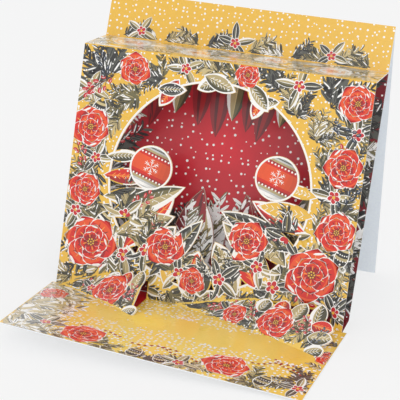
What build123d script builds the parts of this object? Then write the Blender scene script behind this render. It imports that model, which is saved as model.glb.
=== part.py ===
import os
from math import atan2, cos, degrees, radians, sin

from build123d import *

# Sizes of the card sheet and the standing box, in millimetres
card_width = 160.0
sheet_thickness = 0.5
panel_length = 131.8
panel_lean = 15.2
back_length = 158.6
back_lean = 22.3
box_floor_depth = 17.5
shelf_landing_share = 0.842
leg_foot_reach = 10.6
floor_strip_tab = 34.0

# The floor flap is a little wider than the panel and its front-left corner is lifted
flap_length = 82.6
flap_rear_width = 165.0
flap_front_width = 157.0
flap_corner_lift = 12.3

# The round window in the front panel
window_radius = 55.0
window_height = 65.3
window_left_offset = 1.5

# The two sprays popped forward across the main fold
left_spray_inset = 4.0
left_spray_width = 48.0
left_spray_flap_reach = 28.0
left_spray_panel_reach = 20.0
right_spray_inset = 70.0
right_spray_width = 83.0
right_spray_flap_reach = 32.0
right_spray_panel_reach = 20.0

# The layer of leaves inside the box
layer_foot_depth = 9.0
layer_lean = 19.0
layer_tab_depth = 7.0
layer_width = 150.0
layer_base_height = 22.0

right_angle = 90.0

# Places across the card, from its left edge
window_x = -window_left_offset
left_spray_x = left_spray_inset - card_width / 2
right_spray_x = right_spray_inset - card_width / 2

# Places of the folds, seen from the side
sheet_floor = sheet_thickness
panel_top_y = panel_length * sin(radians(panel_lean))
panel_top_z = sheet_floor + panel_length * cos(radians(panel_lean))
back_top_y = box_floor_depth + back_length * sin(radians(back_lean))
back_top_z = sheet_floor + back_length * cos(radians(back_lean))
landing_y = box_floor_depth + shelf_landing_share * back_length * sin(radians(back_lean))
landing_z = sheet_floor + shelf_landing_share * back_length * cos(radians(back_lean))
leg_foot_y = back_top_y + leg_foot_reach
leg_foot_z = sheet_thickness * leg_foot_reach / back_top_z

panel_plane = Plane(
    origin=(0, 0, sheet_floor),
    x_dir=(1, 0, 0),
    z_dir=(0, -cos(radians(panel_lean)), sin(radians(panel_lean))),
)
layer_plane = Plane(
    origin=(0, layer_foot_depth, sheet_floor + sheet_thickness * sin(radians(layer_lean))),
    x_dir=(1, 0, 0),
    z_dir=(0, -cos(radians(layer_lean)), sin(radians(layer_lean))),
)


def flap_height(x, y):
    """Underside of the flap above the floor, lifted towards the front-left corner."""
    forward_share = -y / flap_length
    left_share = 0.5 - x / flap_rear_width
    return sheet_floor + flap_corner_lift * forward_share * left_share


def leaf(x, y, length, width, angle, mode=Mode.ADD):
    """A pointed leaf with its root at x, y, growing along the angle."""
    along = (cos(radians(angle)), sin(radians(angle)))
    across = (-along[1], along[0])
    root = (x, y)
    tip = (x + length * along[0], y + length * along[1])
    middle = (x + length * along[0] / 2, y + length * along[1] / 2)
    left_side = (middle[0] + across[0] * width / 2, middle[1] + across[1] * width / 2)
    right_side = (middle[0] - across[0] * width / 2, middle[1] - across[1] * width / 2)
    with BuildLine() as outline:
        ThreePointArc(root, left_side, tip)
        ThreePointArc(tip, right_side, root)
    make_face(outline.edges(), mode=mode)


# Leaves reaching into the window: rim angle, length and width as shares of the radius, turn
window_leaf_shares = (
    (172, 0.36, 0.13, 16),
    (182, 0.50, 0.17, 2),
    (193, 0.66, 0.21, -8),
    (204, 0.86, 0.23, 4),
    (214, 0.66, 0.22, -10),
    (223, 0.74, 0.24, 8),
    (233, 0.58, 0.24, -4),
    (243, 0.80, 0.22, -10),
    (253, 0.56, 0.24, 8),
    (263, 0.46, 0.26, -8),
    (273, 0.38, 0.24, 6),
    (283, 0.50, 0.22, -12),
    (293, 0.56, 0.26, 8),
    (303, 0.48, 0.24, -6),
    (313, 0.74, 0.22, 6),
    (323, 0.62, 0.24, -8),
    (333, 0.86, 0.24, 8),
    (343, 0.64, 0.20, -6),
    (353, 0.58, 0.18, 4),
    (3, 0.38, 0.13, -12),
    (57, 0.26, 0.13, -44),
    (66, 0.30, 0.15, 4),
    (76, 0.34, 0.17, 56),
    (88, 0.32, 0.17, -58),
    (100, 0.36, 0.16, 60),
    (113, 0.34, 0.16, -54),
    (126, 0.30, 0.14, 58),
)
leaf_root_share = 1.08
window_bauble_shares = ((-0.60, 0.10, 0.22), (0.66, 0.18, 0.22))

# Leaves of the inner layer: place across and root height, length and width as shares, angle
layer_leaf_shares = (
    (-0.42, 0.30, 0.20, 104),
    (-0.32, 0.36, 0.22, 84),
    (-0.22, 0.40, 0.20, 100),
    (-0.12, 0.34, 0.22, 78),
    (-0.02, 0.30, 0.20, 96),
    (0.08, 0.32, 0.20, 82),
    (0.18, 0.34, 0.20, 102),
    (0.28, 0.40, 0.22, 80),
    (0.40, 0.34, 0.20, 96),
)
# A spray is held by the panel along this share of its upper fold, and its cut side is this
# share of the way from the flap up to the panel, so the upper right part stands free
spray_fold_share = 0.5
spray_tip_share = 0.55
# Petals on the free edges: place along the edge, length as a share of the reach, turn
left_top_petal_shares = ((0.26, 0.34, -12), (0.56, 0.44, 4), (0.88, 0.56, 16))
left_side_petal_shares = ((0.92, 0.36, 12),)
right_top_petal_shares = ((0.18, 0.30, -10), (0.40, 0.38, 6), (0.64, 0.44, -8), (0.90, 0.52, 14))
right_side_petal_shares = ((0.24, 0.42, -16), (0.54, 0.44, -2), (0.92, 0.36, 14))
petal_width_share = 0.30
petal_root_share = 0.22

sprays = (
    (left_spray_x, left_spray_x + left_spray_width, left_spray_flap_reach,
     left_spray_panel_reach, left_top_petal_shares, left_side_petal_shares),
    (right_spray_x, right_spray_x + right_spray_width, right_spray_flap_reach,
     right_spray_panel_reach, right_top_petal_shares, right_side_petal_shares),
)


def panel_point(x, up):
    """Point on the front face of the panel, this far up from the main fold."""
    return Vector(
        x,
        up * sin(radians(panel_lean)) - sheet_thickness * cos(radians(panel_lean)),
        sheet_floor + up * cos(radians(panel_lean)) + sheet_thickness * sin(radians(panel_lean)),
    )


def flap_point(x, y):
    """Point on the upper face of the flap."""
    return Vector(x, y, flap_height(x, y) + sheet_thickness)


def facet_plane(start, end, flap_reach, panel_reach):
    """Plane of a spray: from its closed end to its fold ends on the flap and the panel."""
    apex = flap_point(start, -sheet_thickness)
    upper = panel_point(end, panel_reach)
    lower = flap_point(end, -flap_reach)
    facing = (lower - apex).cross(upper - apex)
    return Plane(origin=apex, x_dir=lower - apex, z_dir=facing)


def edge_petals(first, last, petals, reach):
    """Petals rooted inside an edge and pointing out of it, to the left of its direction."""
    edge = last - first
    outward = degrees(atan2(edge.Y, edge.X)) + right_angle
    for along_share, long_share, turn in petals:
        angle = outward + turn
        inward = petal_root_share * reach
        leaf(first.X + along_share * edge.X - inward * cos(radians(angle)),
             first.Y + along_share * edge.Y - inward * sin(radians(angle)),
             long_share * reach, petal_width_share * reach, angle)


# Front sheet: the panel, shelf and top strip follow one side profile
with BuildPart() as front_sheet:
    with BuildSketch(Plane.YZ):
        with BuildLine():
            sheet_line = Polyline(
                (0, sheet_floor),
                (panel_top_y, panel_top_z),
                (landing_y, landing_z),
                (back_top_y, back_top_z),
            )
            offset(sheet_line, amount=sheet_thickness, side=Side.LEFT, kind=Kind.INTERSECTION)
        make_face()
    extrude(amount=card_width / 2, both=True)

    # Floor flap, ruled between its rear edge and its raised front edge
    with BuildSketch(Plane.XZ.offset(-sheet_thickness)):
        with Locations((0, sheet_floor + sheet_thickness / 2)):
            Rectangle(flap_rear_width, sheet_thickness)
    with BuildSketch(Plane.XZ.offset(flap_length)):
        with BuildLine():
            Polyline(
                (flap_front_width / 2, sheet_floor),
                (-flap_front_width / 2, sheet_floor + flap_corner_lift),
                (-flap_front_width / 2, sheet_floor + flap_corner_lift + sheet_thickness),
                (flap_front_width / 2, sheet_floor + sheet_thickness),
                close=True,
            )
        make_face()
    loft(ruled=True)

    # Round window with the leaves left standing in it
    with BuildSketch(panel_plane):
        with Locations((window_x, window_height)):
            Circle(window_radius)
        for rim_angle, long_share, wide_share, turn in window_leaf_shares:
            rim_x = window_x + leaf_root_share * window_radius * cos(radians(rim_angle))
            rim_y = window_height + leaf_root_share * window_radius * sin(radians(rim_angle))
            leaf(rim_x, rim_y, long_share * window_radius, wide_share * window_radius,
                 rim_angle + 180 + turn, Mode.SUBTRACT)
        for across_share, up_share, size_share in window_bauble_shares:
            with Locations((window_x + across_share * window_radius,
                            window_height + up_share * window_radius)):
                Circle(size_share * window_radius, mode=Mode.SUBTRACT)
    extrude(amount=sheet_thickness * 2, both=True, mode=Mode.SUBTRACT)

    # Panel and flap cut away where a spray is popped forward
    for start, end, flap_reach, panel_reach, top_petals, side_petals in sprays:
        fold_x = start + spray_fold_share * (end - start)
        cut_height = spray_fold_share * panel_reach
        with BuildSketch(panel_plane):
            with BuildLine():
                Polyline((start, 0), (end, 0), (end, cut_height), (fold_x, cut_height), close=True)
            make_face()
        extrude(amount=sheet_thickness * 2, both=True, mode=Mode.SUBTRACT)
        with BuildSketch(Plane.XY):
            with BuildLine():
                Polyline((start, 0), (end, 0), (end, -flap_reach), close=True)
            make_face()
        extrude(amount=flap_corner_lift, mode=Mode.SUBTRACT)

    # Each spray slants from its fold on the flap up to its fold on the panel
    for start, end, flap_reach, panel_reach, top_petals, side_petals in sprays:
        spray_plane = facet_plane(start, end, flap_reach, panel_reach)
        upper = spray_plane.to_local_coords(panel_point(end, panel_reach))
        lower = spray_plane.to_local_coords(flap_point(end, -flap_reach))
        tip = lower + (upper - lower) * spray_tip_share
        fold_end = upper * spray_fold_share
        with BuildSketch(spray_plane):
            with BuildLine():
                Polyline((0, 0), (lower.X, lower.Y), (tip.X, tip.Y), (fold_end.X, fold_end.Y), close=True)
            make_face()
            offset(amount=sheet_thickness)
            edge_petals(fold_end, tip, top_petals, flap_reach)
            edge_petals(tip, lower, side_petals, flap_reach)
        extrude(amount=sheet_thickness)
    split(bisect_by=Plane.XY.offset(sheet_floor), keep=Keep.TOP)

# Backing sheet: floor strip, red back panel and plain rear leg on one side profile
with BuildPart() as backing_sheet:
    with BuildSketch(Plane.YZ):
        with BuildLine():
            backing_line = Polyline(
                (-floor_strip_tab, sheet_floor),
                (box_floor_depth, sheet_floor),
                (back_top_y, back_top_z),
                (leg_foot_y, leg_foot_z),
            )
            offset(backing_line, amount=sheet_thickness, side=Side.RIGHT, kind=Kind.INTERSECTION)
        make_face()
    extrude(amount=card_width / 2, both=True)

# Middle layer: leaves standing on a foot tab inside the box
with BuildPart() as middle_layer:
    with BuildSketch(layer_plane):
        with BuildLine():
            Polyline(
                (-layer_width / 2, 0),
                (layer_width / 2, 0),
                (layer_width / 2, layer_base_height),
                (-layer_width / 2, layer_base_height),
                close=True,
            )
        make_face()
        for across_share, long_share, wide_share, lean in layer_leaf_shares:
            leaf(across_share * layer_width, layer_base_height / 2,
                 long_share * layer_width, wide_share * layer_width / 2, lean)
    extrude(amount=-sheet_thickness)
    with BuildSketch(Plane.XY.offset(sheet_floor)):
        with Locations((0, layer_foot_depth + layer_tab_depth / 2)):
            Rectangle(layer_width, layer_tab_depth)
    extrude(amount=sheet_thickness)

front_sheet.part.label = "front_sheet"
backing_sheet.part.label = "backing_sheet"
middle_layer.part.label = "middle_layer"

os.makedirs("parts", exist_ok=True)
export_step(front_sheet.part, "parts/front_sheet.step")
export_step(backing_sheet.part, "parts/backing_sheet.step")
export_step(middle_layer.part, "parts/middle_layer.step")
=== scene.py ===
import random
from math import atan2, cos, hypot, pi, radians, sin, sqrt

import bmesh
import bpy
from mathutils import Matrix, Vector


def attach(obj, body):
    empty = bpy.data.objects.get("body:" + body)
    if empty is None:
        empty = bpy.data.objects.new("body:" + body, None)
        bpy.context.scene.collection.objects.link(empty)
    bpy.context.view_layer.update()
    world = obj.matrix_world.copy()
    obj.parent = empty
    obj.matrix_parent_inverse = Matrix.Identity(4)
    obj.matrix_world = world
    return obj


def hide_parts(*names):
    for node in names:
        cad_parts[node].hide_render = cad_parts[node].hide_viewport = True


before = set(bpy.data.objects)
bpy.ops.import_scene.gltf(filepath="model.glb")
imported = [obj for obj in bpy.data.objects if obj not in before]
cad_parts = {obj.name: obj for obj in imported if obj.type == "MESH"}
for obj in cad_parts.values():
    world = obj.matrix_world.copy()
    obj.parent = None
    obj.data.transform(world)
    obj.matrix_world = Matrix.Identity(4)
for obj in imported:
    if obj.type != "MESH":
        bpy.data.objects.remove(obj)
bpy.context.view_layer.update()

# Front sheet: one piece of card, die-cut and folded into floor flap, front panel, shelf and top
# strip. Its front is printed yellow and given a gloss varnish, its back is plain white, and the
# white core shows along every cut.
mm = 0.001
card_thickness = 0.5 * mm
card_width = 160 * mm
panel_length = 131.8 * mm


def leaning(lean):
    """Directions up a sheet that leans back this far, and out from its face."""
    return Vector((0, sin(lean), cos(lean))), Vector((0, -cos(lean), sin(lean)))


panel_up, panel_facing = leaning(radians(15.2))
back_up, back_facing = leaning(radians(22.3))


def ink(red, green, blue):
    """A printed colour, from its screen values of 0 to 255."""
    return tuple(((value / 255 + 0.055) / 1.055) ** 2.4 for value in (red, green, blue)) + (1.0,)


def add_node(nodes, kind, values=None, **settings):
    """A shader node with its settings and the plain values of its sockets."""
    node = nodes.new("ShaderNode" + kind)
    for name, value in settings.items():
        setattr(node, name, value)
    for socket, value in (values or {}).items():
        node.inputs[socket].default_value = value
    return node


def wire(links, *runs):
    """Links between nodes: each run leads from a node's output to a node's input."""
    for start, outlet, end, inlet in runs:
        links.new(start.outputs[outlet], end.inputs[inlet])


def make_card_surface():
    """Node group for the faint unevenness of varnished card: shade, roughness and normal."""
    group = bpy.data.node_groups.new("card surface", "ShaderNodeTree")
    for name, start in (("Grain Size", 900.0), ("Roughness", 0.3), ("Depth", 0.05)):
        entry = group.interface.new_socket(name, in_out="INPUT", socket_type="NodeSocketFloat")
        entry.default_value = start
    for name, kind in (("Shade", "Float"), ("Roughness", "Float"), ("Normal", "Vector")):
        group.interface.new_socket(name, in_out="OUTPUT", socket_type="NodeSocket" + kind)
    nodes, links = group.nodes, group.links
    inlet = nodes.new("NodeGroupInput")
    outlet = nodes.new("NodeGroupOutput")
    place = add_node(nodes, "TexCoord")
    grain = add_node(nodes, "TexNoise", {"Detail": 3})
    shade = add_node(nodes, "MapRange", {"To Min": 0.93, "To Max": 1.07})
    cloud = add_node(nodes, "TexNoise", {"Scale": 60})
    spread = add_node(nodes, "MapRange", {"To Min": -0.04, "To Max": 0.04})
    rough = add_node(nodes, "Math")
    bump = add_node(nodes, "Bump", {"Distance": 0.02 * mm})
    wire(links, (place, "Object", grain, "Vector"), (inlet, "Grain Size", grain, "Scale"),
         (grain, "Fac", shade, "Value"), (shade, "Result", outlet, "Shade"),
         (place, "Object", cloud, "Vector"), (cloud, "Fac", spread, "Value"),
         (inlet, "Roughness", rough, 0), (spread, "Result", rough, 1),
         (rough, "Value", outlet, "Roughness"), (inlet, "Depth", bump, "Strength"),
         (grain, "Fac", bump, "Height"), (bump, "Normal", outlet, "Normal"))
    return group


card_surface = make_card_surface()


def card_material(name, roughness, coat):
    """A card finish with the shared surface; its colour is linked in by the caller."""
    material = bpy.data.materials.new(name)
    material.use_nodes = True
    nodes, links = material.node_tree.nodes, material.node_tree.links
    shader = nodes["Principled BSDF"]
    shader.inputs["Coat Weight"].default_value = coat
    shader.inputs["Coat Roughness"].default_value = 0.16
    surface = add_node(nodes, "Group", {"Roughness": roughness}, node_tree=card_surface)
    shaded = add_node(nodes, "Mix", {"Factor": 1}, name="shaded colour", data_type="RGBA",
                      blend_type="MULTIPLY")
    wire(links, (surface, "Roughness", shader, "Roughness"), (surface, "Normal", shader, "Normal"),
         (surface, "Shade", shaded, "B"), (shaded, "Result", shader, "Base Color"))
    return material


def flat_card(name, colour, roughness, coat):
    """Card of one colour all over."""
    material = card_material(name, roughness, coat)
    material.node_tree.nodes["shaded colour"].inputs["A"].default_value = colour
    return material


def field_with_painted_light_and_shade(name, middle, rim, centre, reach, roughness, coat):
    """Printed field whose colour runs from its middle out to its rim: painted light in the middle and
    painted shade towards the rim.
    """
    material = card_material(name, roughness, coat)
    nodes, links = material.node_tree.nodes, material.node_tree.links
    place = add_node(nodes, "TexCoord")
    away = add_node(nodes, "VectorMath", {1: centre}, operation="DISTANCE")
    cloud = add_node(nodes, "TexNoise", {"Scale": 45})
    sway = add_node(nodes, "Math", {1: 0.4 * reach}, operation="MULTIPLY_ADD")
    run = add_node(nodes, "MapRange", {"From Min": 0.2 * reach, "From Max": 1.2 * reach})
    blend = add_node(nodes, "Mix", {"A": middle, "B": rim}, data_type="RGBA")
    wire(links, (place, "Object", away, 0), (place, "Object", cloud, "Vector"),
         (cloud, "Fac", sway, 0), (away, "Value", sway, 2), (sway, "Value", run, "Value"),
         (run, "Result", blend, "Factor"), (blend, "Result", nodes["shaded colour"], "A"))
    return material


plain_reverse = flat_card("plain white reverse", ink(245, 250, 255), 0.55, 0.0)
cut_core = flat_card("white cut core", ink(240, 240, 238), 0.8, 0.0)
# The yellow print is lighter in the middle of the flap and deeper away from it: a painted pool of
# light over the yellow.
yellow_print_and_painted_light = field_with_painted_light_and_shade("yellow print and painted light", ink(255, 224, 104), ink(241, 192, 68),
                          (0.0, -0.06, 0.0), 0.11, 0.28, 0.7)

# A face is printed or plain by the share of its normal that points a printed way
printed_share = 0.985
plain_share = 0.97
sideways_share = 0.9
broad_area = 30 * mm * mm
sliver_width = 0.05 * mm


def put_in_scene(name, data):
    """A new object of a mesh, lamp or camera, unturned at the origin."""
    made = bpy.data.objects.new(name, data)
    bpy.context.scene.collection.objects.link(made)
    return made


def card_sheet(node, field, printed_ways):
    """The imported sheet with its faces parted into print, plain reverse and cut core."""
    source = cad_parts[node]
    shape = bmesh.new()
    shape.from_mesh(source.data)
    shape.transform(source.matrix_world)
    bmesh.ops.remove_doubles(shape, verts=shape.verts, dist=1e-7)
    bmesh.ops.dissolve_limit(shape, angle_limit=radians(0.02), verts=shape.verts, edges=shape.edges)
    for face in shape.faces:
        ways = [face.normal.dot(way) for way in printed_ways]
        broad = face.calc_area() > broad_area and abs(face.normal.x) < sideways_share
        longest = max(edge.calc_length() for edge in face.edges)
        if max(ways) > printed_share or 2 * face.calc_area() < sliver_width * longest:
            face.material_index = 0
        elif min(ways) < -plain_share or broad:
            face.material_index = 1
        else:
            face.material_index = 2
    mesh = bpy.data.meshes.new(node + " card")
    shape.to_mesh(mesh)
    shape.free()
    card = put_in_scene(node + "_card", mesh)
    for material in (field, plain_reverse, cut_core):
        mesh.materials.append(material)
    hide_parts(node)
    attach(card, "root")


# The two sprays are parts of the same sheet, each cut along one side and popped forward across
# the main fold, so that it stands between the flap and the panel.
flap_length = 82.6 * mm
flap_rear_width = 165 * mm
flap_front_width = 157 * mm
flap_corner_lift = 12.3 * mm
spray_fold_share = 0.5
spray_tip_share = 0.55
sprays = ((-76 * mm, -28 * mm, 28 * mm, 20 * mm), (-10 * mm, 73 * mm, 32 * mm, 20 * mm))


def on_panel(x, up, lift=0.0):
    """Point on the printed face of the panel."""
    foot = Vector((x, 0, card_thickness))
    return foot + panel_up * up + panel_facing * (card_thickness + lift)


def on_flap(x, y, lift=0.0):
    """Point on the printed face of the floor flap."""
    raised = flap_corner_lift * (-y / flap_length) * (0.5 - x / flap_rear_width)
    return Vector((x, y, 2 * card_thickness + raised + lift))


def spray_frame(start, end, flap_reach, panel_reach):
    """Apex, directions along and across, and facing of a spray, with its corners."""
    apex = on_flap(start, -card_thickness)
    lower = on_flap(end, -flap_reach)
    upper = on_panel(end, panel_reach)
    along = (lower - apex).normalized()
    facing = (lower - apex).cross(upper - apex).normalized()
    across = facing.cross(along)
    tip = lower + (upper - lower) * spray_tip_share
    fold_end = apex + (upper - apex) * spray_fold_share
    return apex, along, across, facing, (apex, lower, tip, fold_end)


spray_frames = [spray_frame(*sizes) for sizes in sprays]
spray_facings = [made[3] for made in spray_frames]
card_sheet("front_sheet", yellow_print_and_painted_light,
           [panel_facing, Vector((0, 0, 1)), back_facing] + spray_facings)

# Backing sheet: one strip of card folded into floor strip, red printed back panel and rear leg.
# Only the side towards the window is printed; the leg and the reverse are plain.
# The red print is bright in the middle of the back panel and dark towards its edges and top: painted
# shade of the box over the red.
red_print_and_painted_shade = field_with_painted_light_and_shade("red print and painted shade", ink(226, 34, 52), ink(126, 14, 28),
                       (0.0, 0.055, 0.075), 0.085, 0.34, 0.3)
card_sheet("backing_sheet", red_print_and_painted_shade, [back_facing, Vector((0, 0, 1))])

# Middle layer: a strip of the same card, printed on its front and die-cut into a row of leaves.
# It stands inside the box on a folded foot, which is glued to the floor strip.
layer_lean = radians(19)
layer_up, layer_facing = leaning(layer_lean)
layer_field = flat_card("dark red layer print", ink(120, 18, 32), 0.34, 0.3)
card_sheet("middle_layer", layer_field, [layer_facing, Vector((0, 0, 1))])

# Print of the front panel: offset-printed in full colour on the yellow field and varnished over.
# The design is a plain winter garland of roses, laurel sprigs, knots of smooth leaves, drop
# ornaments and snow. A white line runs along the die-cut rim and round each cut leaf.
chance = random.Random(11)
pick, between = chance.choice, chance.uniform
ink_step = 0.0016 * mm
white = ink(254, 253, 250)
grey = ink(205, 206, 204)
charcoal = ink(42, 41, 40)
slate = ink(90, 91, 84)
olive = ink(116, 108, 70)
moss = ink(72, 69, 46)
beige = ink(188, 170, 122)
straw = ink(212, 192, 138)
bark = ink(104, 62, 46)
poppy = ink(220, 32, 14)
coral = ink(240, 84, 30)
crimson = ink(166, 14, 20)
maroon = ink(108, 14, 26)
orange = ink(250, 168, 68)
scarlet = ink(204, 28, 40)
pale_rose = ink(252, 214, 206)
night_blue = ink(38, 52, 76)
leaf_gold = ink(240, 192, 72)

red_stripes = (
    (white, poppy, poppy, orange, coral, poppy, crimson),
    (poppy, poppy, coral, orange, poppy, crimson, crimson),
    (crimson, poppy, poppy, orange, coral, poppy, white),
)
leaf_stripes = (
    (white, beige, olive, straw, olive, moss, moss),
    (moss, olive, olive, straw, beige, beige, white),
    (beige, beige, straw, moss, beige, olive, moss),
    (charcoal, slate, olive, straw, moss, charcoal, slate),
    (leaf_gold, leaf_gold, leaf_gold, straw, leaf_gold, leaf_gold, leaf_gold),
)


def start_print():
    """An empty layer of ink."""
    shape = bmesh.new()
    shape.loops.layers.float_color.new("ink")
    return shape


def spot(x, y, turn=0.0, level=0, size=1.0):
    """Place of a motif that grows towards +Y before its turn, with this many inks below it."""
    moved = Matrix.Translation((x, y, level * ink_step)) @ Matrix.Rotation(turn, 4, "Z")
    return moved @ Matrix.Diagonal((size, size, 1, 1))


def dot(shape, at, radius, colour, corners=8):
    """A round patch of one ink."""
    made = bmesh.ops.create_circle(shape, cap_ends=True, segments=corners, radius=radius, matrix=at)
    layer = shape.loops.layers.float_color["ink"]
    for loop in made["verts"][0].link_faces[0].loops:
        loop[layer] = colour


def stroke(shape, at, length, width, colour, corners=6):
    """A brush stroke from its root along +Y, pointed at both ends, or oval with more corners."""
    middle = Matrix.Translation((0, length / 2, 0)) @ Matrix.Diagonal((width / 2, length / 2, 1, 1))
    dot(shape, at @ middle, 1, colour, corners)


def ink_grid(shape, columns, rows, colour_of, place_of):
    """A grid of small fields of ink, coloured and laid out by their shares from -0.5 to 0.5."""
    made = bmesh.ops.create_grid(shape, x_segments=columns, y_segments=rows, size=0.5)
    layer = shape.loops.layers.float_color["ink"]
    for face in {face for vert in made["verts"] for face in vert.link_faces}:
        middle = face.calc_center_median()
        colour = colour_of(middle.x, middle.y)
        for loop in face.loops:
            loop[layer] = colour
    for vert in made["verts"]:
        vert.co = place_of(vert.co.x, vert.co.y)


def leaf_patch(shape, at, length, width, stripes, rows=6):
    """A pointed leaf between two arcs, striped from its left edge to its right."""
    arc = (length ** 2 + width ** 2) / (4 * width)

    def outline(x, y):
        along = y + 0.5
        side = 2 * x
        half = sqrt(max(arc ** 2 - ((along - 0.5) * length) ** 2, 0)) - arc + width / 2
        return at @ Vector((half * side * sqrt(abs(side)), along * length, 0))

    ink_grid(shape, len(stripes), rows, lambda x, y: stripes[int((x + 0.5) * len(stripes))], outline)


def keep(shape, name):
    """The finished motif, kept so that it can be printed many times."""
    mesh = bpy.data.meshes.new(name)
    shape.to_mesh(mesh)
    shape.free()
    return mesh


def stamp(sheet, motif, at):
    """Print a kept motif at its place on a sheet."""
    printed = motif.copy()
    printed.transform(at)
    sheet.from_mesh(printed)
    bpy.data.meshes.remove(printed)


rose_bands = (
    (maroon, maroon, crimson, crimson, poppy, coral, poppy),
    (maroon, maroon, crimson, poppy, coral, poppy, poppy),
    (maroon, crimson, crimson, poppy, poppy, coral, orange),
)


def petal_patch(shape, at, length, width, bands):
    """A round petal, narrow at its root and full at its tip, banded from root to tip."""
    def outline(x, y):
        along = (1 - cos(pi * (y + 0.5))) / 2
        side = 2 * x
        swell = (along - 0.6) / (0.6 if along < 0.6 else 0.4)
        half = width / 2 * sqrt(max(1 - swell ** 2, 0))
        return at @ Vector((half * side, along * length * (1 - 0.1 * side ** 2), 0))

    ink_grid(shape, 4, len(bands), lambda x, y: bands[int((y + 0.5) * len(bands))], outline)


def rose(bands, heart):
    """A full winter rose of unit radius: three rings of round petals about a knot of stamens."""
    shape = start_print()
    level = 0
    for ring, petals, reach, wide in ((0, 6, 1.0, 0.92), (1, 5, 0.7, 0.7), (2, 4, 0.4, 0.46)):
        for petal in range(petals):
            turn = 2 * pi * (petal + 0.5 * ring) / petals + between(-0.1, 0.1)
            long = reach * between(0.9, 1.06)
            broad = wide * between(0.92, 1.08)
            here = spot(0, 0, turn, level)
            petal_patch(shape, here, long * 1.04, broad * 1.07, (white,) * 5)
            petal_patch(shape, here @ spot(0, 0, 0, 1), long, broad, pick(bands))
            for number in range(-1, 2):
                vein = spot(0.04 * number, 0.36 * long, -0.45 * number, 1.5)
                stroke(shape, here @ vein, 0.4 * long, 0.035, heart if number else bands[2][6])
            if chance.random() < 0.6:
                cap = spot(between(-0.3, 0.3) * broad, 0.86 * long,
                           pi / 2 + between(-0.3, 0.3), 1.8)
                stroke(shape, here @ cap, 0.4 * broad, 0.1 * long, white)
            level += 2
    dot(shape, spot(0, 0, 0, level), 0.14, heart, 10)
    for bead in range(8):
        turn = 2 * pi * bead / 7
        away = 0.0 if bead == 7 else 0.1
        dot(shape, spot(away * cos(turn), away * sin(turn), 0, level + 1), 0.034, leaf_gold, 6)
    return keep(shape, "rose")


def sprig(leaves, shades, snow):
    """A laurel sprig of unit length: soft shade, bent stem, pairs of leaves, snow on some."""
    shape = start_print()
    for number in range(3):
        stroke(shape, spot(0, 0.04, between(-0.35, 0.35)), between(0.5, 0.9),
               between(0.05, 0.09), pick(shades))
    bend = between(-0.25, 0.25)
    steps = 9
    for step in range(steps):
        along = (step + 0.6) / steps
        here = spot(bend * along ** 2, 0.92 * along, -2 * bend * along, 1)
        stroke(shape, here @ spot(0, -1 / steps, 0, 1), 1.5 / steps, 0.026, leaves[0])
        for side in (-1, 1):
            leaf = here @ spot(0, 0, side * radians(between(28, 56)), 2)
            long = (0.38 - 0.17 * along) * between(0.8, 1.2)
            stroke(shape, leaf, long, 0.27 * long, pick(leaves))
            rib = leaf @ spot(0, 0.1 * long, 0, 1)
            stroke(shape, rib, 0.8 * long, 0.07 * long, pick(leaves))
            if chance.random() < snow:
                edge = leaf @ spot(-0.05 * side * long, 0.12 * long, 0, 2)
                stroke(shape, edge, 0.8 * long, 0.12 * long, white)
    return keep(shape, "laurel sprig")


def leaf_knot():
    """Four snow-edged smooth leaves of unit length round a small flower of five petals."""
    shape = start_print()
    for number, leaf_turn in enumerate((-2.2, -0.9, 0.6, 1.9)):
        here = spot(0, 0, leaf_turn + between(-0.2, 0.2), 3 * number)
        long = between(0.85, 1.1)
        leaf_patch(shape, here, long * 1.04, 0.39, (white, white), 8)
        leaf_patch(shape, here @ spot(0, 0.01, 0, 1), long, 0.34, pick(leaf_stripes[:4]), 8)
        stroke(shape, here @ spot(0, 0.08, 0, 2), long * 0.8, 0.03, white)
    for petal in range(5):
        here = spot(0, 0, 2 * pi * petal / 5, 13 + 2 * petal)
        stroke(shape, here, 0.3, 0.24, white, 9)
        stroke(shape, here @ spot(0, 0, 0, 1), 0.26, 0.19, scarlet, 9)
    dot(shape, spot(0, 0, 0, 24), 0.07, leaf_gold, 7)
    return keep(shape, "leaf knot")


def drop_ornament():
    """A drop-shaped tree ornament of unit length, banded, with a cap and two rows of beads."""
    shape = start_print()
    petal_patch(shape, spot(0, 0), 1.06, 0.62, (white,) * 7)
    petal_patch(shape, spot(0, 0.03, 0, 1), 1, 0.54, (
        beige, charcoal, moss, straw, charcoal, charcoal,
        beige, charcoal, charcoal, straw, moss, charcoal))
    for height, half in ((0.42, 0.19), (0.66, 0.22)):
        for place in range(5):
            across = half * (place / 2 - 1)
            dot(shape, spot(across, height - 0.8 * across ** 2, 0, 2), 0.03, white, 6)
    dot(shape, spot(0, 0.04, 0, 3), 0.08, leaf_gold, 6)
    return keep(shape, "drop ornament")


def round_leaf_twig(leaf, shine, stem):
    """A thin branching twig of unit length with a small round leaf on each shoot."""
    shape = start_print()
    for step in range(9):
        along = (step + 1) / 9
        side = -1 if step % 2 else 1
        joint = spot(0.02 * side, along * 0.82, side * between(0.4, 0.9))
        shoot = 0.18 * between(0.6, 1.2)
        stroke(shape, joint, shoot, 0.018, stem)
        stroke(shape, joint @ spot(0, shoot - 0.02, 0, 1), between(0.12, 0.16), 0.09, leaf, 9)
        stroke(shape, joint @ spot(-0.01, shoot, 0, 2), 0.1, 0.018, shine)
    stroke(shape, spot(0, 0), 1, 0.03, stem)
    return keep(shape, "round-leaved twig")


snow_square = 20 * mm


def flurries(rows, least, most):
    """Three squares with snow dots strewn evenly over them."""
    kept = []
    for square in range(3):
        shape = start_print()
        gap = snow_square / rows
        for number in range(rows * rows):
            x = (number % rows + between(0.15, 0.85)) * gap - snow_square / 2
            y = (number // rows + between(0.15, 0.85)) * gap - snow_square / 2
            dot(shape, spot(x, y, 0, number % 3), between(least, most) * mm, white)
        kept.append(keep(shape, "snow flurry"))
    return kept


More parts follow.
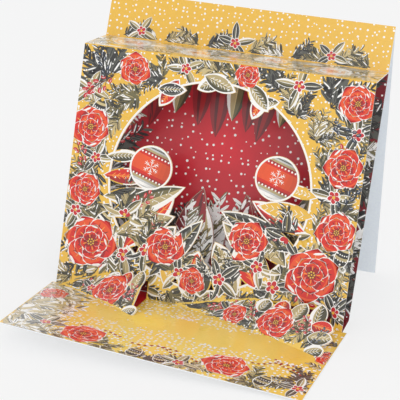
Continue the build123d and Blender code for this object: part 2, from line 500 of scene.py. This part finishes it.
roses = [rose(rose_bands, maroon) for number in range(5)]
dark_sprigs = [sprig((charcoal, charcoal, slate), (charcoal, slate), 0.16) for number in range(3)]
olive_sprigs = [sprig((olive, moss, beige, charcoal), (slate, olive), 0.22) for number in range(3)]
straw_sprigs = [sprig((moss, straw, charcoal, beige), (beige, olive), 0.22) for number in range(2)]
snowy_sprigs = [sprig((white, white, olive), (olive,), 0.5) for number in range(2)]
sprigs = dark_sprigs + olive_sprigs + straw_sprigs + snowy_sprigs[:1]
leaf_knots = [leaf_knot() for number in range(4)]
drops = [drop_ornament() for number in range(2)]
red_twigs = [round_leaf_twig(scarlet, pale_rose, bark) for number in range(2)]
blue_twigs = [round_leaf_twig(night_blue, grey, charcoal) for number in range(2)]
thick_snow = flurries(6, 0.3, 0.68)
thin_snow = flurries(4, 0.25, 0.6)
sparse_snow = flurries(4, 0.35, 0.78)
broad_snow = flurries(7, 0.5, 0.85)


def cluster(sheet, x, y, count, length, kinds, level=6, facing=0.0, fan=pi):
    """Sprigs that fan out from one place."""
    for number in range(count):
        turn = facing + fan * (2 * (number + between(0.1, 0.9)) / count - 1)
        here = spot(x, y, turn, level + 5 * (number % 4)) @ spot(0, 0.04 * length, 0)
        stamp(sheet, pick(kinds), here @ spot(0, 0, 0, 0, length * between(0.75, 1.2)))


def set_out(sheet, kinds, level, places):
    """One of these motifs at each place: x, y, turn and size, with the lengths in mm."""
    for x, y, turn, size in places:
        stamp(sheet, pick(kinds), spot(x * mm, y * mm, turn, level, size * mm))


def cut_leaf(sheet, at, length, width, stripes, inset_sizes, veins=(), vein_ink=white,
             edge_ink=white, rows=12):
    """Print of a die-cut leaf: a border, then the stripes and pairs of side veins.

    The inset sizes (mm): where the stripes start, and how much shorter and narrower they are.
    """
    start, shorter, narrower = inset_sizes
    leaf_patch(sheet, at, length - 0.2 * mm, width - 0.2 * mm, (edge_ink, edge_ink), rows)
    inset = at @ spot(0, start * mm, 0, 1)
    leaf_patch(sheet, inset, length - shorter * mm, width - narrower * mm, stripes, rows - 2)
    for share in veins:
        for side in (-1, 1):
            vein = inset @ spot(0, share * length, side * 0.7, 1)
            stroke(sheet, vein, 0.3 * width, 0.35 * mm, vein_ink)
    return inset


def snowflake():
    """A six-armed snow crystal of unit radius."""
    shape = start_print()
    for arm in range(6):
        here = spot(0, 0, arm * pi / 3)
        stroke(shape, here, 1, 0.09, white)
        for along in (0.4, 0.65):
            for side in (-1, 1):
                stroke(shape, here @ spot(0, along, side * 0.9), 0.3, 0.07, white)
    return keep(shape, "snowflake")


def ornament(shape, at, radius):
    """A round tree ornament, banded from foot to crown, with a snow crystal on its belly."""
    bands = (slate, grey, white, white, grey, beige, crimson, poppy,
             *(coral,) * 5, poppy, crimson, beige, grey, slate, grey, slate)

    def shaded_band(x, y):
        shade = 1 - 0.55 * max(x + 0.1, 0) - 0.2 * max(-x - 0.2, 0)
        return tuple(part * shade for part in bands[int((y + 0.5) * len(bands))][:3]) + (1.0,)

    def outline(x, y):
        rise = pi * y
        return at @ Vector((2 * x * cos(rise) * radius, sin(rise) * radius, 0))

    ink_grid(shape, 8, len(bands), shaded_band, outline)
    stamp(shape, snowflake(), at @ spot(0, 0.04 * radius, 0.2, 1, 0.44 * radius))
    for place in range(9):
        for height in (-0.55, 0.6):
            side = (place / 4 - 1) * 0.72
            dot(shape, at @ spot(side * radius, height * radius, 0, 1), 0.05 * radius, white, 7)


def snowfall(sheet, low, high, kinds, level=0):
    """Flurries laid side by side over a stretch of sheet."""
    for column in range(int((high[0] - low[0]) / snow_square) + 1):
        for row in range(int((high[1] - low[1]) / snow_square) + 1):
            x = low[0] + (column + 0.5) * snow_square
            y = low[1] + (row + 0.5) * snow_square
            stamp(sheet, pick(kinds), spot(x, y, chance.randrange(4) * pi / 2, level))


def clip(sheet, low, high):
    """Trim the ink where a straight-sided sheet ends."""
    for edge, outward in ((low, (-1, 0)), (low, (0, -1)), (high, (1, 0)), (high, (0, 1))):
        everything = sheet.verts[:] + sheet.edges[:] + sheet.faces[:]
        bmesh.ops.bisect_plane(sheet, geom=everything, plane_co=(*edge, 0),
                               plane_no=(*outward, 0), clear_outer=True)


def cull(sheet, off_sheet):
    """Leave out the patches of ink that would hang over a cut."""
    lost = [face for face in sheet.faces if any(off_sheet(v.co.x, v.co.y) for v in face.verts)]
    bmesh.ops.delete(sheet, geom=lost, context="FACES")


print_ink = card_material("printed ink", 0.3, 0.7)
nodes, links = print_ink.node_tree.nodes, print_ink.node_tree.links
ink_reader = add_node(nodes, "Attribute", attribute_name="ink")
wire(links, (ink_reader, "Color", nodes["shaded colour"], "A"))
first_ink = 6 * ink_step


def finish_print(name, sheet, place):
    """Lay the flat print onto its sheet of card and make it a piece."""
    for vert in sheet.verts:
        vert.co = place(vert.co.x, vert.co.y, vert.co.z + first_ink)
    mesh = keep(sheet, name)
    mesh.materials.append(print_ink)
    piece = put_in_scene(name, mesh)
    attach(piece, "root")


window_radius = 55 * mm
window_x = -1.5 * mm
window_height = 65.3 * mm
leaf_root_share = 1.08
window_leaf_shares = (
    (172, 0.36, 0.13, 16), (182, 0.50, 0.17, 2), (193, 0.66, 0.21, -8), (204, 0.86, 0.23, 4),
    (214, 0.66, 0.22, -10), (223, 0.74, 0.24, 8), (233, 0.58, 0.24, -4), (243, 0.80, 0.22, -10),
    (253, 0.56, 0.24, 8), (263, 0.46, 0.26, -8), (273, 0.38, 0.24, 6), (283, 0.50, 0.22, -12),
    (293, 0.56, 0.26, 8), (303, 0.48, 0.24, -6), (313, 0.74, 0.22, 6), (323, 0.62, 0.24, -8),
    (333, 0.86, 0.24, 8), (343, 0.64, 0.20, -6), (353, 0.58, 0.18, 4), (3, 0.38, 0.13, -12),
    (57, 0.26, 0.13, -44), (66, 0.30, 0.15, 4), (76, 0.34, 0.17, 56), (88, 0.32, 0.17, -58),
    (100, 0.36, 0.16, 60), (113, 0.34, 0.16, -54), (126, 0.30, 0.14, 58),
)
bauble_shares = ((-0.60, 0.10, 0.22), (0.66, 0.18, 0.22))
print_margin = 0.08 * mm
window_margin = 0.1 * mm


def round_window(angle, away):
    """Point on the panel at this angle and distance from the middle of the window."""
    return window_x + away * cos(angle), window_height + away * sin(angle)


window_leaves = [(round_window(radians(rim_angle), leaf_root_share * window_radius),
                  radians(rim_angle + 180 + turn), long_share * window_radius,
                  wide_share * window_radius)
                 for rim_angle, long_share, wide_share, turn in window_leaf_shares]
baubles = [(window_x + across * window_radius, window_height + up * window_radius,
            size * window_radius) for across, up, size in bauble_shares]


def in_leaf(x, y, leaf):
    """True on a die-cut leaf, short of its edge by the print margin."""
    (root_x, root_y), angle, length, width = leaf
    along = (x - root_x) * cos(angle) + (y - root_y) * sin(angle)
    across = (y - root_y) * cos(angle) - (x - root_x) * sin(angle)
    arc = (length ** 2 + width ** 2) / (4 * width)
    reach = hypot(along - length / 2, abs(across) + arc - width / 2)
    return reach < arc - print_margin


def off_panel(x, up):
    """True over the window's openings and over the slots behind the two sprays."""
    from_centre = hypot(x - window_x, up - window_height)
    if from_centre < window_radius + window_margin:
        in_bauble = any(hypot(x - ball_x, up - ball_y) < size - print_margin
                        for ball_x, ball_y, size in baubles)
        return not in_bauble and not any(in_leaf(x, up, leaf) for leaf in window_leaves)
    for start, end, flap_reach, panel_reach in sprays:
        to_fold = (x - start) / (spray_fold_share * (end - start))
        rise = panel_reach * spray_fold_share * min(1, to_fold)
        if start < x < end + print_margin and up < rise + print_margin:
            return True
    return False


panel_print = start_print()
half_width = card_width / 2
panel_low = (-half_width, 0)
panel_high = (half_width, panel_length)
panel_foot_margin = 0.4 * mm
snowfall(panel_print, panel_low, panel_high, thick_snow)
rim_line_gap = 0.15 * mm
rim_line_width = 1.1 * mm
rim = bmesh.ops.create_circle(panel_print, segments=96, radius=window_radius + rim_line_gap,
                              matrix=spot(window_x, window_height, 0, 70))
rim_edges = list({edge for vert in rim["verts"] for edge in vert.link_edges})
spread = bmesh.ops.extrude_edge_only(panel_print, edges=rim_edges)
for item in spread["geom"]:
    if isinstance(item, bmesh.types.BMVert):
        middle = Vector((window_x, window_height, item.co.z))
        item.co = middle + (item.co - middle) * (1 + rim_line_width / window_radius)
    elif isinstance(item, bmesh.types.BMFace):
        for loop in item.loops:
            loop[panel_print.loops.layers.float_color["ink"]] = white
garland_kinds = (dark_sprigs, olive_sprigs, straw_sprigs, sprigs)
for number in range(24):
    rim_angle = 2 * pi * number / 24
    x, up = round_window(rim_angle, window_radius + between(5, 9) * mm)
    first, second = garland_kinds[number % 4], garland_kinds[(number + 1) % 4]
    cluster(panel_print, x, up, 4, 17 * mm, first, 6, rim_angle - 0.5, 0.6)
    cluster(panel_print, x, up, 2, 13 * mm, second, 6, rim_angle - 1.4, 0.5)
for x, up, count, length, kinds, facing in (
        (-62, 116, 5, 22, dark_sprigs, 0.7), (58, 116, 6, 23, dark_sprigs, -0.7),
        (68, 104, 5, 20, olive_sprigs, -1.2), (-66, 100, 4, 16, straw_sprigs, 1.3),
        (66, 84, 5, 18, dark_sprigs, -1.4), (68, 62, 5, 17, olive_sprigs, -1.8),
        (66, 40, 6, 20, sprigs, -2.0), (-66, 60, 5, 17, olive_sprigs, 1.8),
        (-60, 40, 7, 21, olive_sprigs, 2.0), (-54, 24, 8, 22, sprigs, 2.3),
        (-34, 12, 7, 17, dark_sprigs, 2.9), (0, 8, 6, 14, straw_sprigs, 3.1),
        (28, 12, 7, 16, olive_sprigs, -2.9), (54, 22, 8, 22, sprigs, -2.4),
        (70, 14, 6, 18, dark_sprigs, -2.2), (-72, 8, 6, 17, straw_sprigs, 2.2),
        (-78, 34, 4, 15, dark_sprigs, 0.3), (77, 30, 4, 16, sprigs, -0.3)):
    cluster(panel_print, x * mm, up * mm, count, length * mm, kinds, 6, facing, 1.1)
set_out(panel_print, leaf_knots, 30, (
    (-74, 108, 0.4, 12), (-22, 126, -0.3, 11), (40, 125, 0.8, 12), (74, 104, 1.0, 13),
    (66, 70, -0.6, 13), (-66, 72, 0.5, 11), (-74, 42, 2.0, 12), (-44, 22, -0.6, 14),
    (-30, 6, 0.2, 11), (18, 20, -0.5, 13), (40, 18, 0.9, 14), (74, 10, -1.2, 12)))
set_out(panel_print, drops, 44, (
    (-66, 104, 2.9, 14), (-54, 44, 2.6, 15), (50, 42, -2.6, 15), (62, 96, -2.8, 14),
    (-4, 12, 3.0, 12), (76, 46, 2.9, 13)))
for kinds, places in (
        (red_twigs, [(-60, 118, 2.2, 22)]),
        (blue_twigs, [(56, 110, -2.0, 20), (70, 60, -0.4, 22)]),
        (red_twigs, [(-50, 16, 1.4, 22), (50, 8, -1.0, 22), (-70, 64, 0.5, 18)]),
        (blue_twigs, [(-64, 112, 0.4, 18)]),
        (red_twigs, [(26, 10, 1.6, 20), (64, 78, -0.2, 20)])):
    set_out(panel_print, kinds, 62, places)

# The leaves and the two round ornaments that the die leaves in the window, each with a white
# border. Sprigs, twigs and knots of leaves are printed over their roots.
for number, (root, angle, length, width) in enumerate(window_leaves):
    red = number % 4 == 1
    cut_leaf(panel_print, spot(*root, angle - pi / 2, 74 + 4 * (number % 5)), length, width,
             red_stripes[number % 3] if red else leaf_stripes[(number // 2) % 5], (0.9, 2.6, 1.4),
             [0.16 + 0.1 * step for step in range(7)], orange if red else white, rows=14)
for number in range(13):
    rim_angle = radians(192 + 12.5 * number)
    x, up = round_window(rim_angle, (0.98 - 0.05 * (number % 2)) * window_radius)
    cluster(panel_print, x, up, 3, 0.32 * window_radius, garland_kinds[number % 4], 98,
            rim_angle + pi / 2, 0.8)
for number in range(6):
    rim_angle = radians(206 + 26 * number)
    x, up = round_window(rim_angle, 0.9 * window_radius)
    stamp(panel_print, pick(red_twigs), spot(x, up, rim_angle + 1.9, 104, 20 * mm))
    stamp(panel_print, pick(leaf_knots), spot(x, up, rim_angle, 108, 13 * mm))
for ball_x, ball_y, size in baubles:
    dot(panel_print, spot(ball_x, ball_y, 0, 126), size - 2 * print_margin, white, 40)
    ornament(panel_print, spot(ball_x, ball_y, -0.3, 127), size - 1.1 * mm)
snowfall(panel_print, panel_low, panel_high, thin_snow, 122)
set_out(panel_print, roses, 130, (
    (-50, 122, 0.2, 9.5), (12, 127, 0.5, 7.5), (72, 120, 0.9, 11), (-71, 88, 0.2, 12),
    (69, 86, 0.7, 11.5), (-70, 54, 0.3, 10), (70, 52, 0.8, 11.5), (-63, 26, 0.4, 15.5),
    (60, 28, 0.0, 15.5), (-21, 30, 0.3, 11.5), (23, 40, 0.6, 12), (-4, 14, 0.1, 8)))
cull(panel_print, off_panel)
clip(panel_print, (-half_width, panel_foot_margin), panel_high)
finish_print("panel_print", panel_print, on_panel)


# Print of the floor flap: bare yellow across its middle, snow behind and before it, and a row of
# roses, drop ornaments and strings of beads along the front edge.
def bead_string():
    """A string of small beads of unit length on a fine wavy cord."""
    shape = start_print()
    for bead in range(15):
        along = (bead + 0.5) / 15
        here = spot(0.05 * sin(8 * along), along)
        stroke(shape, here @ spot(0, -0.04), 0.09, 0.014, bark)
        radius, colour = ((0.034, crimson), (0.024, white))[bead % 2]
        dot(shape, here @ spot(0, 0, 0, 1), radius, colour, 7)
    return keep(shape, "bead string")


flap_print_lift = 0.08 * mm


def on_print_flap(x, y, level):
    """Point of the flap's print, clear of the twist of the sheet as it narrows to its front."""
    forward = -y / flap_length
    width = flap_rear_width - (flap_rear_width - flap_front_width) * forward
    twist = flap_corner_lift * forward * x * (1 / flap_rear_width - 1 / width)
    return on_flap(x, y, level + twist + flap_print_lift)


def flap_edge(y):
    """Half the width of the flap at this place between its fold and its front edge."""
    return flap_rear_width / 2 + (flap_rear_width - flap_front_width) / 2 * y / flap_length


def off_flap(x, y):
    """True over the two openings that the sprays leave in the flap."""
    for start, end, flap_reach, panel_reach in sprays:
        edge = -flap_reach * (x - start) / (end - start) - print_margin
        if start < x < end + print_margin and y > edge:
            return True
    return abs(x) > flap_edge(y)


def snow_drift(length, depth, count):
    """Loose snow on both sides of a line across the sheet."""
    shape = start_print()
    for number in range(count):
        place = spot(between(-0.5, 0.5) * length, chance.gauss(0, depth), 0, number % 3)
        dot(shape, place, between(0.45, 0.8) * mm, white)
    return keep(shape, "snow drift")


beads = bead_string()
loose_snow = snow_drift(136 * mm, 2.5 * mm, 80)
flap_print = start_print()
flap_low = (-flap_rear_width / 2, -flap_length)
# Sprigs and strokes in washed-out beige: beige print paled by painted sheen, on the flap's left corner
# and on the shelf.
sheen_washed_sprigs = [sprig((beige, straw, white, slate), (straw, beige), 0.4) for number in range(3)]
sheen_wash_tints = (ink(224, 200, 164), ink(206, 184, 150), ink(236, 218, 190), ink(198, 178, 144))
# Long pale strokes over the flap's left corner: painted sheen that washes out the print there.
for number in range(90):
    y = between(-74, 0) * mm
    length = min(between(10, 24) * mm, flap_length + y - 0.2 * mm)
    width = between(3, 6) * mm
    inward = between(0.1, 22) * chance.random() * mm
    stroke(flap_print, spot(-flap_edge(y - length) + width / 2 + inward, y, pi, number % 6), length,
           width, sheen_wash_tints[number % 4])
snowfall(flap_print, (flap_low[0], -22 * mm), (-flap_low[0], -12 * mm), broad_snow)
stamp(flap_print, loose_snow, spot(12 * mm, -21 * mm, 0.02, 3))
stamp(flap_print, loose_snow, spot(10 * mm, -46 * mm, pi - 0.04, 3))
snowfall(flap_print, (-62 * mm, -66 * mm), (-flap_low[0], -56 * mm), broad_snow)
snowfall(flap_print, (flap_low[0], -84 * mm), (-flap_low[0], -74 * mm), broad_snow)
for x, y, count, length, kinds in (
        (-80, -6, 12, 22, sheen_washed_sprigs), (-78, -24, 14, 24, sheen_washed_sprigs),
        (-77, -44, 14, 26, sheen_washed_sprigs), (-76, -62, 14, 25, sheen_washed_sprigs),
        (-70, -80, 10, 20, sheen_washed_sprigs), (-52, -80, 5, 13, straw_sprigs),
        (-26, -78, 5, 14, olive_sprigs), (-4, -82, 6, 14, dark_sprigs),
        (20, -76, 5, 13, straw_sprigs), (50, -76, 7, 15, olive_sprigs),
        (72, -66, 6, 15, dark_sprigs), (84, -48, 5, 13, straw_sprigs),
        (86, -22, 5, 13, dark_sprigs), (20, -3, 4, 11, olive_sprigs)):
    cluster(flap_print, x * mm, y * mm, count, length * mm, kinds)
for x, y, turn, length in ((-44, -58, -1.7, 24), (-14, -66, -1.4, 24), (22, -70, 1.3, 22),
                           (46, -56, -1.2, 22), (72, -58, 1.0, 20)):
    stamp(flap_print, beads, spot(x * mm, y * mm, turn, 30, length * mm))
set_out(flap_print, drops, 34, ((-8, -70, 3.0, 13), (4, -71, -3.0, 12), (58, -66, 2.9, 14)))
set_out(flap_print, leaf_knots, 52, ((16, -5, 0.3, 10), (-60, -66, 0.6, 12), (14, -76, 0.6, 12),
                                     (74, -72, 0.8, 12)))
set_out(flap_print, roses, 66, ((-38, -70, 0.1, 12.5), (36, -66, 0.6, 13), (82, -34, 0.2, 9),
                                (-74, -20, 0.9, 9.5)))
cull(flap_print, off_flap)
fold_margin = 0.8 * mm
clip(flap_print, (flap_low[0], -flap_length + print_margin), (-flap_low[0], -fold_margin))
finish_print("flap_print", flap_print, on_print_flap)

# Print of the two sprays: the same ink on the facets that stand forward, each cut petal and leaf
# with its own white border.
spray_petal_shares = (
    (((0.26, 0.34, -12), (0.56, 0.44, 4), (0.88, 0.56, 16)), ((0.92, 0.36, 12),)),
    (((0.18, 0.30, -10), (0.40, 0.38, 6), (0.64, 0.44, -8), (0.90, 0.52, 14)),
     ((0.24, 0.42, -16), (0.54, 0.44, -2), (0.92, 0.36, 14))),
)
petal_width_share = 0.30
petal_root_share = 0.22
spray_roses = (((32, 8, 0.9, 12),), ((34, 6, 0.5, 7.5), (58, 10, 0.8, 11.5)))


def print_spray(number, name):
    """Everything printed on one spray: its flat outline, and the leaves on its two free edges."""
    apex, along, across, facing, corners = spray_frames[number]
    flat = [Vector(((corner - apex).dot(along), (corner - apex).dot(across))) for corner in corners]
    edges = [(first, (last - first).normalized()) for first, last in zip(flat, flat[1:] + flat[:1])]
    reach = sprays[number][2]
    leaves = []
    for first, last, shares in ((flat[3], flat[2], spray_petal_shares[number][0]),
                                (flat[2], flat[1], spray_petal_shares[number][1])):
        edge = last - first
        outward = atan2(edge.y, edge.x) + pi / 2
        for along_share, long_share, turn in shares:
            angle = outward + radians(turn)
            inward = Vector((cos(angle), sin(angle))) * petal_root_share * reach
            root = first + edge * along_share - inward
            leaves.append(((root.x, root.y), angle, long_share * reach, petal_width_share * reach))

    def off_spray(x, y):
        inside = all(edge.x * (y - first.y) - edge.y * (x - first.x) >= 0 for first, edge in edges)
        return not inside and not any(in_leaf(x, y, leaf) for leaf in leaves)

    def on_spray(x, y, level):
        return apex + along * x + across * y + facing * (card_thickness + level)

    sheet = start_print()
    low = (0, 0)
    high = (max(corner.x for corner in flat) + 10 * mm, max(corner.y for corner in flat) + 14 * mm)
    snowfall(sheet, low, high, thick_snow)
    places = int(high[0] / (9 * mm))
    for place in range(places):
        x = (place + 0.6) * high[0] / places
        cluster(sheet, x, 0.16 * x, 7, 15 * mm, garland_kinds[place % 4])
        stamp(sheet, pick(red_twigs), spot(x, 0.1 * x, between(-1, 1), 30, 14 * mm))
    for leaf_number, (root, angle, length, width) in enumerate(leaves):
        here = spot(*root, angle - pi / 2, 36 + 4 * leaf_number)
        red = leaf_number % 3 == 1
        stripes = (red_stripes if red else leaf_stripes)[leaf_number % 3]
        inset = cut_leaf(sheet, here, length, width, stripes, (0.5, 1.4, 0.9),
                         [0.14 * step for step in range(1, 6)], orange if red else white)
        stroke(sheet, inset @ spot(0, 0.04 * length, 0, 2), 0.86 * length, 0.4 * mm, straw)
    stamp(sheet, pick(leaf_knots), spot(0.3 * high[0], 0.07 * high[0], 0.5, 66, 10 * mm))
    stamp(sheet, pick(blue_twigs), spot(0.84 * high[0], 0.02 * high[0], -0.2, 66, 15 * mm))
    stamp(sheet, pick(red_twigs), spot(0.8 * high[0], 0.08 * high[0], 0.6, 70, 15 * mm))
    set_out(sheet, roses, 82, spray_roses[number])
    cull(sheet, off_spray)
    finish_print(name, sheet, on_spray)


print_spray(0, "left_spray_print")
print_spray(1, "right_spray_print")

# Print of the shelf and the strip above it: the shelf's print is paled by painted sheen, the strip
# has close snow, a line of sprigs along its fold and three knots of leaves.
back_length = 158.6 * mm
box_floor_depth = 17.5 * mm
shelf_landing_share = 0.842
panel_top = Vector((0, 0, card_thickness)) + panel_up * panel_length
back_foot = Vector((0, box_floor_depth, card_thickness))
landing = back_foot + back_up * shelf_landing_share * back_length
shelf_depth = (landing - panel_top).length
shelf_back = (landing - panel_top).normalized()
shelf_facing = Vector((1, 0, 0)).cross(shelf_back)
strip_height = (1 - shelf_landing_share) * back_length


def on_face(foot, up, facing, rise=0.0):
    """Way from a flat print to its place on a flat face, from the middle of the face's foot."""
    return lambda x, y, level: foot + Vector((x, 0, 0)) + up * y + facing * (rise + level)


shelf_print = start_print()
shelf_high = (half_width, shelf_depth - fold_margin)
shelf_front_margin = 0.3 * mm
# Pale inks for the shelf: its print paled into a painted sheen.
sheen_pale_inks = (ink(226, 108, 84), ink(236, 132, 100), ink(244, 168, 128), ink(250, 206, 160))
sheen_pale_band = sheen_pale_inks + (white, white, sheen_pale_inks[3])
sheen_pale_bands = (sheen_pale_band, (sheen_pale_inks[0], sheen_pale_inks[2], ink(246, 214, 186), sheen_pale_inks[2], sheen_pale_inks[3],
                          white, white), sheen_pale_band)
sheen_pale_roses = [rose(sheen_pale_bands, ink(206, 120, 96)) for number in range(2)]
# Pale strokes across the shelf: painted sheen.
for number in range(110):
    place = spot(between(-80, 76) * mm, between(2, 32) * mm,
                 -pi / 2 + between(-0.3, 0.3), number % 4)
    stroke(shelf_print, place, between(12, 22) * mm, between(2, 4) * mm,
           pick(sheen_wash_tints[::2] + (white, ink(244, 214, 196))))
snowfall(shelf_print, (-half_width, 0), shelf_high, thin_snow, 5)
for place in range(9):
    x = -72 * mm + place * 18 * mm
    cluster(shelf_print, x, between(8, 26) * mm, 5, 17 * mm, sheen_washed_sprigs)
set_out(shelf_print, sheen_pale_roses, 26, ((-60, 20, 0.3, 12), (-22, 14, 0.8, 10), (18, 22, 0.1, 10),
                                      (54, 14, 0.5, 12)))
clip(shelf_print, (-half_width, shelf_front_margin), shelf_high)
finish_print("shelf_print", shelf_print, on_face(panel_top, shelf_back, shelf_facing, card_thickness))

strip_print = start_print()
strip_high = (half_width, strip_height)
snowfall(strip_print, (-half_width, 0), strip_high, thick_snow)
for number in range(12):
    side = 1 if number % 2 else -1
    x = (-66 + 12 * number + 4 * side) * mm
    cluster(strip_print, x, 1.5 * mm, 4, 14 * mm, garland_kinds[number % 4], 6, 1.25 * side, 0.3)
set_out(strip_print, leaf_knots, 30, ((-60, 5, 0.3, 10), (-6, 5, -0.4, 11), (48, 5, 0.2, 10)))
clip(strip_print, (-half_width, fold_margin), strip_high)
finish_print("strip_print", strip_print, on_face(landing, back_up, back_facing, card_thickness))

# Print inside the box: snow on the red back panel, dark sprigs and twigs at its two sides, and a
# row of deep red and green leaves that hang along its top; their deep reds are painted shade under
# the shelf, over red print.
back_print = start_print()
back_high = (half_width, shelf_landing_share * back_length - fold_margin)
snowfall(back_print, (-half_width, 0), back_high, sparse_snow)
for side in (-1, 1):
    for place in range(8):
        cluster(back_print, side * between(62, 74) * mm, (8 + 16 * place) * mm, 7, 22 * mm,
                (dark_sprigs, snowy_sprigs)[place % 3 == 2])
        stamp(back_print, pick(blue_twigs + red_twigs),
              spot(side * 70 * mm, (10 + 15 * place) * mm, side * between(0, 1.5), 30, 20 * mm))
for place in range(7):
    cluster(back_print, (-52 + 17 * place) * mm, 26 * mm, 6, 24 * mm, snowy_sprigs + dark_sprigs,
            6, 0, 0.9)
# Deep reds: red print darkened into painted shade of the box.
shade_darkened_reds = (ink(120, 12, 26), crimson, crimson, ink(96, 10, 22), ink(150, 18, 30))
for number in range(15):
    here = spot((-70 + 10 * number) * mm, 130 * mm, pi + between(-0.25, 0.25),
                44 + 4 * (number % 3))
    stripes = leaf_stripes[1] if number % 3 == 1 else shade_darkened_reds
    leaf_patch(back_print, here, (44, 34, 39)[number % 3] * mm, 11 * mm, stripes, 8)
    stroke(back_print, here @ spot(1.5 * mm, 4 * mm, 0.1, 2), 13 * mm, 2 * mm, grey)
back_foot_margin = 1 * mm
clip(back_print, (-half_width, back_foot_margin), back_high)
finish_print("back_print", back_print, on_face(back_foot, back_up, back_facing))

# Print of the floor strip: plain red in three tones, seen through the openings that the sprays
# leave in the flap. It is part of the backing sheet's print.
floor_print = start_print()
floor_reds = (ink(196, 18, 30), ink(210, 24, 36), ink(196, 18, 30))
floor_print_width = 158 * mm
floor_print_depth = 42 * mm
ink_grid(floor_print, 3, 1, lambda x, y: floor_reds[int((x + 0.5) * 3)],
         lambda x, y: Vector((x * floor_print_width, (y - 0.3) * floor_print_depth, 0)))
finish_print("floor_print", floor_print, on_face(
    Vector((0, 0, card_thickness + 0.02 * mm)), Vector((0, 1, 0)), Vector((0, 0, 1))))

# Print of the middle layer: one striped leaf on each die-cut leaf, with a pale border, and
# sprigs and knots of leaves in front of them on the layer's base.
layer_foot = Vector((0, 9 * mm, card_thickness * (1 + sin(layer_lean))))
layer_width = 150 * mm
layer_base_height = 22 * mm
layer_leaf_shares = (
    (-0.42, 0.30, 0.20, 104), (-0.32, 0.36, 0.22, 84), (-0.22, 0.40, 0.20, 100),
    (-0.12, 0.34, 0.22, 78), (-0.02, 0.30, 0.20, 96), (0.08, 0.32, 0.20, 82),
    (0.18, 0.34, 0.20, 102), (0.28, 0.40, 0.22, 80), (0.40, 0.34, 0.20, 96),
)
layer_leaves = [((across * layer_width, layer_base_height / 2), radians(angle), long * layer_width,
                 wide * layer_width / 2) for across, long, wide, angle in layer_leaf_shares]


def off_layer(x, up):
    """True beyond the edge of the middle layer."""
    on_base = abs(x) < layer_width / 2 - print_margin and 0 < up < layer_base_height - print_margin
    return not on_base and not any(in_leaf(x, up, leaf) for leaf in layer_leaves)


layer_print = start_print()
# The leaves' darkest reds are painted shade of the box over their red print.
for number, (root, angle, length, width) in enumerate(layer_leaves):
    here = spot(*root, angle - pi / 2, 4 * (number % 2))
    cut_leaf(layer_print, here, length, width, (shade_darkened_reds, leaf_stripes[1], shade_darkened_reds)[number % 3],
             (0.5, 1.2, 0.8), edge_ink=ink(176, 140, 118))
    stamp(layer_print, pick(snowy_sprigs), here @ spot(0, 0.3 * length, 0.1, 3, 0.62 * length))
    stamp(layer_print, pick(olive_sprigs), here @ spot(0, 0.1 * length, -0.2, 3, 0.5 * length))
    stamp(layer_print, pick(leaf_knots), spot(root[0] + 8 * mm, root[1] + 4 * mm, 0.2, 12, 13 * mm))
    stamp(layer_print, pick(sprigs), spot(root[0] - 7 * mm, root[1] / 2, -0.3, 12, 22 * mm))
layer_snow_height = 60 * mm
snowfall(layer_print, (-layer_width / 2, 0), (layer_width / 2, layer_snow_height), thin_snow, 30)
cull(layer_print, off_layer)
finish_print("layer_print", layer_print, on_face(layer_foot, layer_up, layer_facing))

# Table: one pale ground under the card, which takes its shadow. The camera and the reflections
# see it mostly as a white backdrop.
bpy.ops.mesh.primitive_plane_add(size=40, location=(0, 0, 0))
table = bpy.context.object
table.name = "table"
table_white = ink(247, 247, 247)
pale_table = bpy.data.materials.new("pale table")
pale_table.use_nodes = True
nodes, links = pale_table.node_tree.nodes, pale_table.node_tree.links
matt = nodes["Principled BSDF"]
matt.inputs["Base Color"].default_value = table_white
matt.inputs["Roughness"].default_value = 0.9
glow = add_node(nodes, "Emission", {"Color": table_white})
rays = add_node(nodes, "LightPath")
seen = add_node(nodes, "Math")
seen_all = add_node(nodes, "Math")
share = add_node(nodes, "Math", {1: 0.7}, operation="MULTIPLY")
backdrop = add_node(nodes, "MixShader")
wire(links, (rays, "Is Camera Ray", seen, 0), (rays, "Is Glossy Ray", seen, 1),
     (seen, "Value", seen_all, 0), (rays, "Is Transmission Ray", seen_all, 1),
     (seen_all, "Value", share, 0), (share, "Value", backdrop, "Fac"), (matt, "BSDF", backdrop, 1),
     (glow, "Emission", backdrop, 2), (backdrop, "Shader", nodes["Material Output"], "Surface"))
table.data.materials.append(pale_table)

# Light: a white room that lights the card evenly from all round, and one large soft lamp in
# front of it, a little to its right and above.
room = bpy.data.worlds.new("white room")
bpy.context.scene.world = room
room.use_nodes = True
walls = room.node_tree.nodes["Background"]
walls.inputs["Color"].default_value = (1, 1, 1, 1)
walls.inputs["Strength"].default_value = 0.9
lamp = bpy.data.lights.new("front light", "AREA")
lamp.size = 1.4
lamp.energy = 4
lamp_stand = put_in_scene("front light", lamp)
lamp_place = Vector((0.3, -1.2, 1.3))
lamp_target = Vector((0, 0, 0.05))
aim = (lamp_target - lamp_place).to_track_quat("-Z", "Y").to_matrix().to_4x4()
lamp_stand.matrix_world = Matrix.Translation(lamp_place) @ aim

# Camera: a long lens in front of the card, a little to its right and above it, tipped a few
# degrees to one side.
view_azimuth = radians(15.84)
view_elevation = radians(20.92)
view_roll = radians(3.23)
view_centre = Vector((-0.00379, 0.00954, 0.05846))
view_distance = 0.8858
camera_data = bpy.data.cameras.new("photo camera")
camera_data.lens = 150.77
camera_data.sensor_width = 36
camera = put_in_scene("photo camera", camera_data)
looking = Matrix.Rotation(view_azimuth, 4, "Z") @ Matrix.Rotation(radians(90) - view_elevation, 4, "X")
camera.matrix_world = (
    Matrix.Translation(view_centre) @ looking
    @ Matrix.Translation((0, 0, view_distance)) @ Matrix.Rotation(view_roll, 4, "Z")
)
bpy.context.scene.camera = camera

bpy.context.scene.view_settings.view_transform = "Standard"
